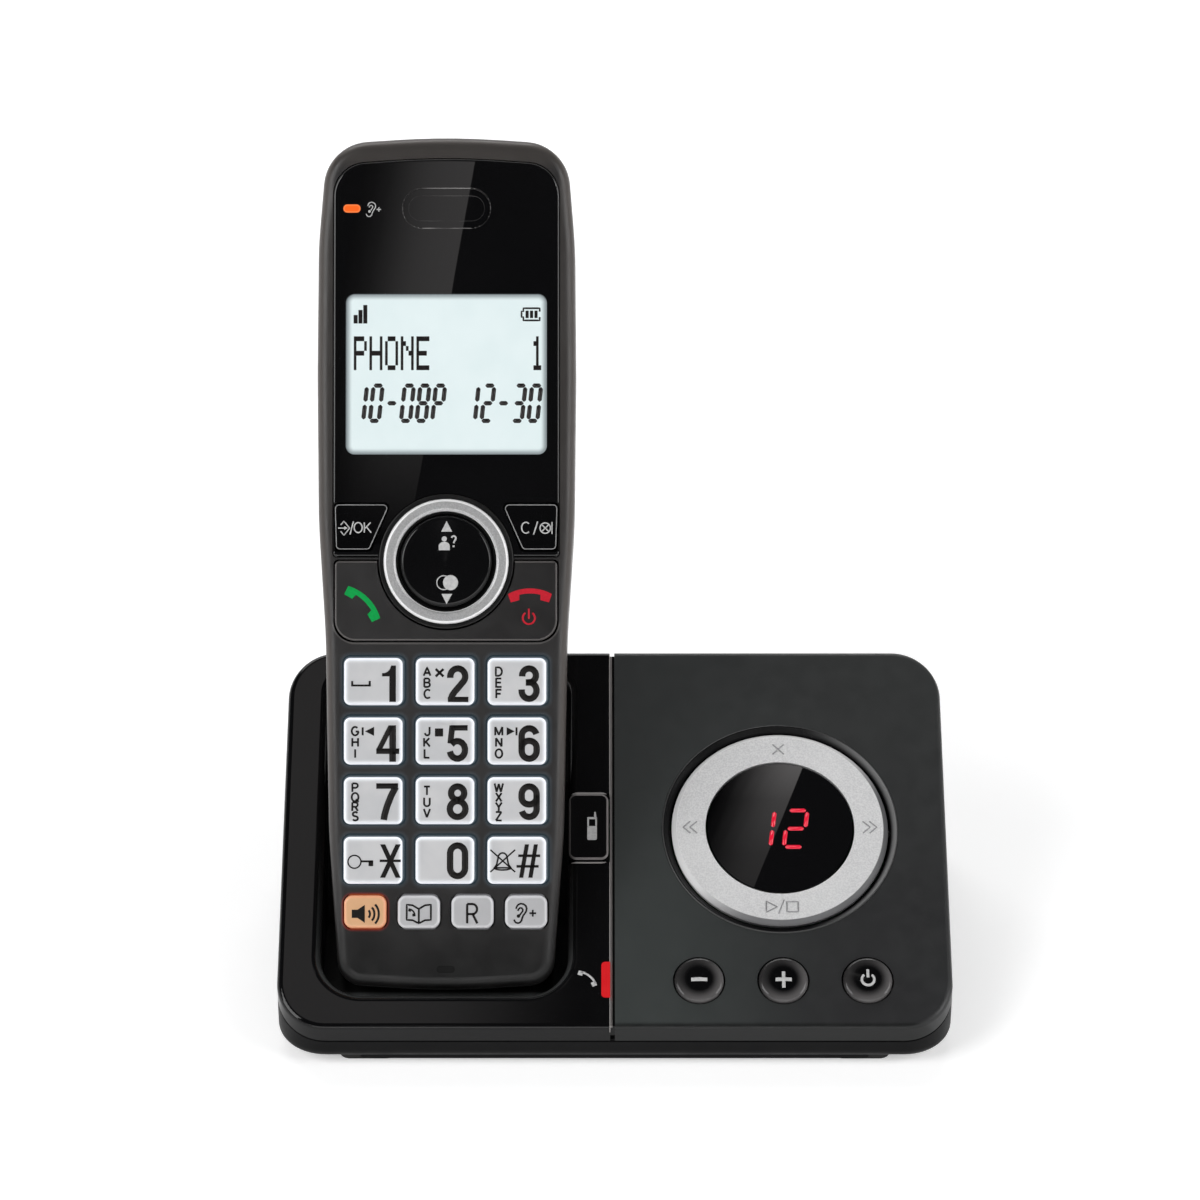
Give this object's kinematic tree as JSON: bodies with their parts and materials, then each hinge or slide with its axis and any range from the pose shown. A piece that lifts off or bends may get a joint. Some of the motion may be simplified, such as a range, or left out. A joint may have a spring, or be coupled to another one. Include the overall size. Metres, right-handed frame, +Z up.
{
  "type": "answering machine",
  "caption": "Cordless telephone handset standing in a sloping charging base that holds the answering machine, its message ring, display window and round buttons.",
  "frame": {"origin": "on the table, below the centre of the outline of the base with its handset in place", "axes": "+X to the right of someone who faces the keys, +Y away from them, +Z up"},
  "size_m": [0.13, 0.1218, 0.1448],
  "materials": {
    "base_shell": "fine grain",
    "cradle_gloss": "gloss",
    "panel_satin": "satin",
    "bezel": "gloss with a bright rim",
    "window_smoke": "gloss",
    "led_module": "matt",
    "red_light": "gloss",
    "rubber_mat": "matt",
    "circuit_board": "solder mask",
    "speaker_steel": "plain",
    "socket_black": "matt",
    "foot_rubber": "matt",
    "screw_steel": "zinc",
    "carrier_plastic": "matt",
    "ring_silver": "satin",
    "button_gloss": "gloss",
    "find_gloss": "gloss",
    "contact_metal": "plated",
    "front_satin": "satin",
    "rear_satin": "satin",
    "lens_gloss": "gloss",
    "lcd_glass": "lit display",
    "orange_light": "gloss",
    "cell_sleeve": "sleeve",
    "soft_key_gloss": "gloss",
    "call_satin": "satin",
    "nav_gloss": "gloss",
    "orange_key": "lit",
    "white_key": "lit",
    "grey_key": "lit"
  },
  "bodies": {
    "base": {"base_bottom_shell": "base_shell", "cradle_cover": "cradle_gloss", "control_panel_cover": "panel_satin", "ring_surround": "bezel", "display_window": "window_smoke", "led_display_module": "led_module", "in_use_light": "red_light", "base_button_membrane": "rubber_mat", "base_circuit_board": "circuit_board", "base_loudspeaker": "speaker_steel", "phone_jack": "socket_black", "power_jack": "socket_black", "rubber_feet": "foot_rubber", "base_screws": "screw_steel"},
    "handset": {"handset_front_housing": "front_satin", "handset_rear_housing": "rear_satin", "handset_lens": "lens_gloss", "lcd_module": "lcd_glass", "boost_light": "orange_light", "earpiece_speaker": "speaker_steel", "handset_loudspeaker": "speaker_steel", "microphone": "speaker_steel", "nav_ring": "ring_silver", "keypad_membrane": "rubber_mat", "handset_circuit_board": "circuit_board", "battery_cells": "cell_sleeve", "battery_contacts": "screw_steel", "handset_charge_contacts": "contact_metal", "handset_screws": "screw_steel"},
    "ring_carrier": {"ring_carrier": "carrier_plastic"},
    "control_ring": {"control_ring": "ring_silver"},
    "volume_down_button": {"volume_down_button": "button_gloss"},
    "volume_up_button": {"volume_up_button": "button_gloss"},
    "power_button": {"power_button": "button_gloss"},
    "find_handset_button": {"find_handset_button": "find_gloss"},
    "charging_pin_left": {"charging_pin_left": "contact_metal"},
    "charging_pin_right": {"charging_pin_right": "contact_metal"},
    "key_1": {"key_1": "white_key"},
    "key_2": {"key_2": "white_key"},
    "key_3": {"key_3": "white_key"},
    "key_4": {"key_4": "white_key"},
    "key_5": {"key_5": "white_key"},
    "key_6": {"key_6": "white_key"},
    "key_7": {"key_7": "white_key"},
    "key_8": {"key_8": "white_key"},
    "key_9": {"key_9": "white_key"},
    "key_star": {"key_star": "white_key"},
    "key_0": {"key_0": "white_key"},
    "key_hash": {"key_hash": "white_key"},
    "speaker_key": {"speaker_key": "orange_key"},
    "phonebook_key": {"phonebook_key": "grey_key"},
    "recall_key": {"recall_key": "grey_key"},
    "boost_key": {"boost_key": "grey_key"},
    "ok_key": {"ok_key": "soft_key_gloss"},
    "cancel_key": {"cancel_key": "soft_key_gloss"},
    "call_end_key": {"call_end_key": "call_satin"},
    "nav_key": {"nav_key": "nav_gloss"},
    "battery_door": {"battery_door": "rear_satin"}
  },
  "joints": [
    {"name": "handset_lift", "type": "slide", "parent": "base", "child": "handset", "axis": [0, 0.5878, 0.809], "range_m": [0, 0.08]},
    {"name": "key_1_press", "type": "slide", "parent": "handset", "child": "key_1", "axis": [0, 0.809, -0.5878], "range_m": [0, 0.0008], "stiffness_N_per_m": 400, "springref_m": -0.0006},
    {"name": "key_2_press", "type": "slide", "parent": "handset", "child": "key_2", "axis": [0, 0.809, -0.5878], "range_m": [0, 0.0008], "stiffness_N_per_m": 400, "springref_m": -0.0006},
    {"name": "key_3_press", "type": "slide", "parent": "handset", "child": "key_3", "axis": [0, 0.809, -0.5878], "range_m": [0, 0.0008], "stiffness_N_per_m": 400, "springref_m": -0.0006},
    {"name": "key_4_press", "type": "slide", "parent": "handset", "child": "key_4", "axis": [0, 0.809, -0.5878], "range_m": [0, 0.0008], "stiffness_N_per_m": 400, "springref_m": -0.0006},
    {"name": "key_5_press", "type": "slide", "parent": "handset", "child": "key_5", "axis": [0, 0.809, -0.5878], "range_m": [0, 0.0008], "stiffness_N_per_m": 400, "springref_m": -0.0006},
    {"name": "key_6_press", "type": "slide", "parent": "handset", "child": "key_6", "axis": [0, 0.809, -0.5878], "range_m": [0, 0.0008], "stiffness_N_per_m": 400, "springref_m": -0.0006},
    {"name": "key_7_press", "type": "slide", "parent": "handset", "child": "key_7", "axis": [0, 0.809, -0.5878], "range_m": [0, 0.0008], "stiffness_N_per_m": 400, "springref_m": -0.0006},
    {"name": "key_8_press", "type": "slide", "parent": "handset", "child": "key_8", "axis": [0, 0.809, -0.5878], "range_m": [0, 0.0008], "stiffness_N_per_m": 400, "springref_m": -0.0006},
    {"name": "key_9_press", "type": "slide", "parent": "handset", "child": "key_9", "axis": [0, 0.809, -0.5878], "range_m": [0, 0.0008], "stiffness_N_per_m": 400, "springref_m": -0.0006},
    {"name": "key_star_press", "type": "slide", "parent": "handset", "child": "key_star", "axis": [0, 0.809, -0.5878], "range_m": [0, 0.0008], "stiffness_N_per_m": 400, "springref_m": -0.0006},
    {"name": "key_0_press", "type": "slide", "parent": "handset", "child": "key_0", "axis": [0, 0.809, -0.5878], "range_m": [0, 0.0008], "stiffness_N_per_m": 400, "springref_m": -0.0006},
    {"name": "key_hash_press", "type": "slide", "parent": "handset", "child": "key_hash", "axis": [0, 0.809, -0.5878], "range_m": [0, 0.0008], "stiffness_N_per_m": 400, "springref_m": -0.0006},
    {"name": "speaker_key_press", "type": "slide", "parent": "handset", "child": "speaker_key", "axis": [0, 0.809, -0.5878], "range_m": [0, 0.0008], "stiffness_N_per_m": 400, "springref_m": -0.0006},
    {"name": "phonebook_key_press", "type": "slide", "parent": "handset", "child": "phonebook_key", "axis": [0, 0.809, -0.5878], "range_m": [0, 0.0008], "stiffness_N_per_m": 400, "springref_m": -0.0006},
    {"name": "recall_key_press", "type": "slide", "parent": "handset", "child": "recall_key", "axis": [0, 0.809, -0.5878], "range_m": [0, 0.0008], "stiffness_N_per_m": 400, "springref_m": -0.0006},
    {"name": "boost_key_press", "type": "slide", "parent": "handset", "child": "boost_key", "axis": [0, 0.809, -0.5878], "range_m": [0, 0.0008], "stiffness_N_per_m": 400, "springref_m": -0.0006},
    {"name": "ok_key_press", "type": "slide", "parent": "handset", "child": "ok_key", "axis": [0, 0.809, -0.5878], "range_m": [0, 0.0008], "stiffness_N_per_m": 400, "springref_m": -0.0006},
    {"name": "cancel_key_press", "type": "slide", "parent": "handset", "child": "cancel_key", "axis": [0, 0.809, -0.5878], "range_m": [0, 0.0008], "stiffness_N_per_m": 400, "springref_m": -0.0006},
    {"name": "call_end_rock", "type": "hinge", "parent": "handset", "child": "call_end_key", "pos_m": [-0.0325, -0.00899, 0.07254], "axis": [0, 0.5878, 0.809], "range_deg": [-1.5, 1.5], "stiffness_Nm_per_rad": 0.05},
    {"name": "nav_rock", "type": "hinge", "parent": "handset", "child": "nav_key", "pos_m": [-0.0325, -0.00412, 0.07838], "axis": [1, 0, 0], "range_deg": [-2.5, 2.5], "stiffness_Nm_per_rad": 0.02},
    {"name": "battery_door_slide", "type": "slide", "parent": "handset", "child": "battery_door", "axis": [0, -0.5878, -0.809], "range_m": [0, 0.005]},
    {"name": "volume_down_button_press", "type": "slide", "parent": "base", "child": "volume_down_button", "axis": [0, 0.4226, -0.9063], "range_m": [0, 0.0008], "stiffness_N_per_m": 400, "springref_m": -0.0006},
    {"name": "volume_up_button_press", "type": "slide", "parent": "base", "child": "volume_up_button", "axis": [0, 0.4226, -0.9063], "range_m": [0, 0.0008], "stiffness_N_per_m": 400, "springref_m": -0.0006},
    {"name": "power_button_press", "type": "slide", "parent": "base", "child": "power_button", "axis": [0, 0.4226, -0.9063], "range_m": [0, 0.0008], "stiffness_N_per_m": 400, "springref_m": -0.0006},
    {"name": "find_handset_button_press", "type": "slide", "parent": "base", "child": "find_handset_button", "axis": [0, 0.4226, -0.9063], "range_m": [0, 0.0008], "stiffness_N_per_m": 400, "springref_m": -0.0006},
    {"name": "charging_pin_left_press", "type": "slide", "parent": "base", "child": "charging_pin_left", "axis": [0, 0, -1], "range_m": [0, 0.0006], "stiffness_N_per_m": 400, "springref_m": -0.0006},
    {"name": "charging_pin_right_press", "type": "slide", "parent": "base", "child": "charging_pin_right", "axis": [0, 0, -1], "range_m": [0, 0.0006], "stiffness_N_per_m": 400, "springref_m": -0.0006},
    {"name": "ring_tip_play_delete", "type": "hinge", "parent": "base", "child": "ring_carrier", "pos_m": [0.0324, -0.02087, 0.02518], "axis": [1, 0, 0], "range_deg": [-1.2, 1.2], "stiffness_Nm_per_rad": 0.1},
    {"name": "ring_tip_skip_repeat", "type": "hinge", "parent": "ring_carrier", "child": "control_ring", "pos_m": [0.0324, -0.02087, 0.02518], "axis": [0, 0.9063, 0.4226], "range_deg": [-1.2, 1.2], "stiffness_Nm_per_rad": 0.1}
  ]
}
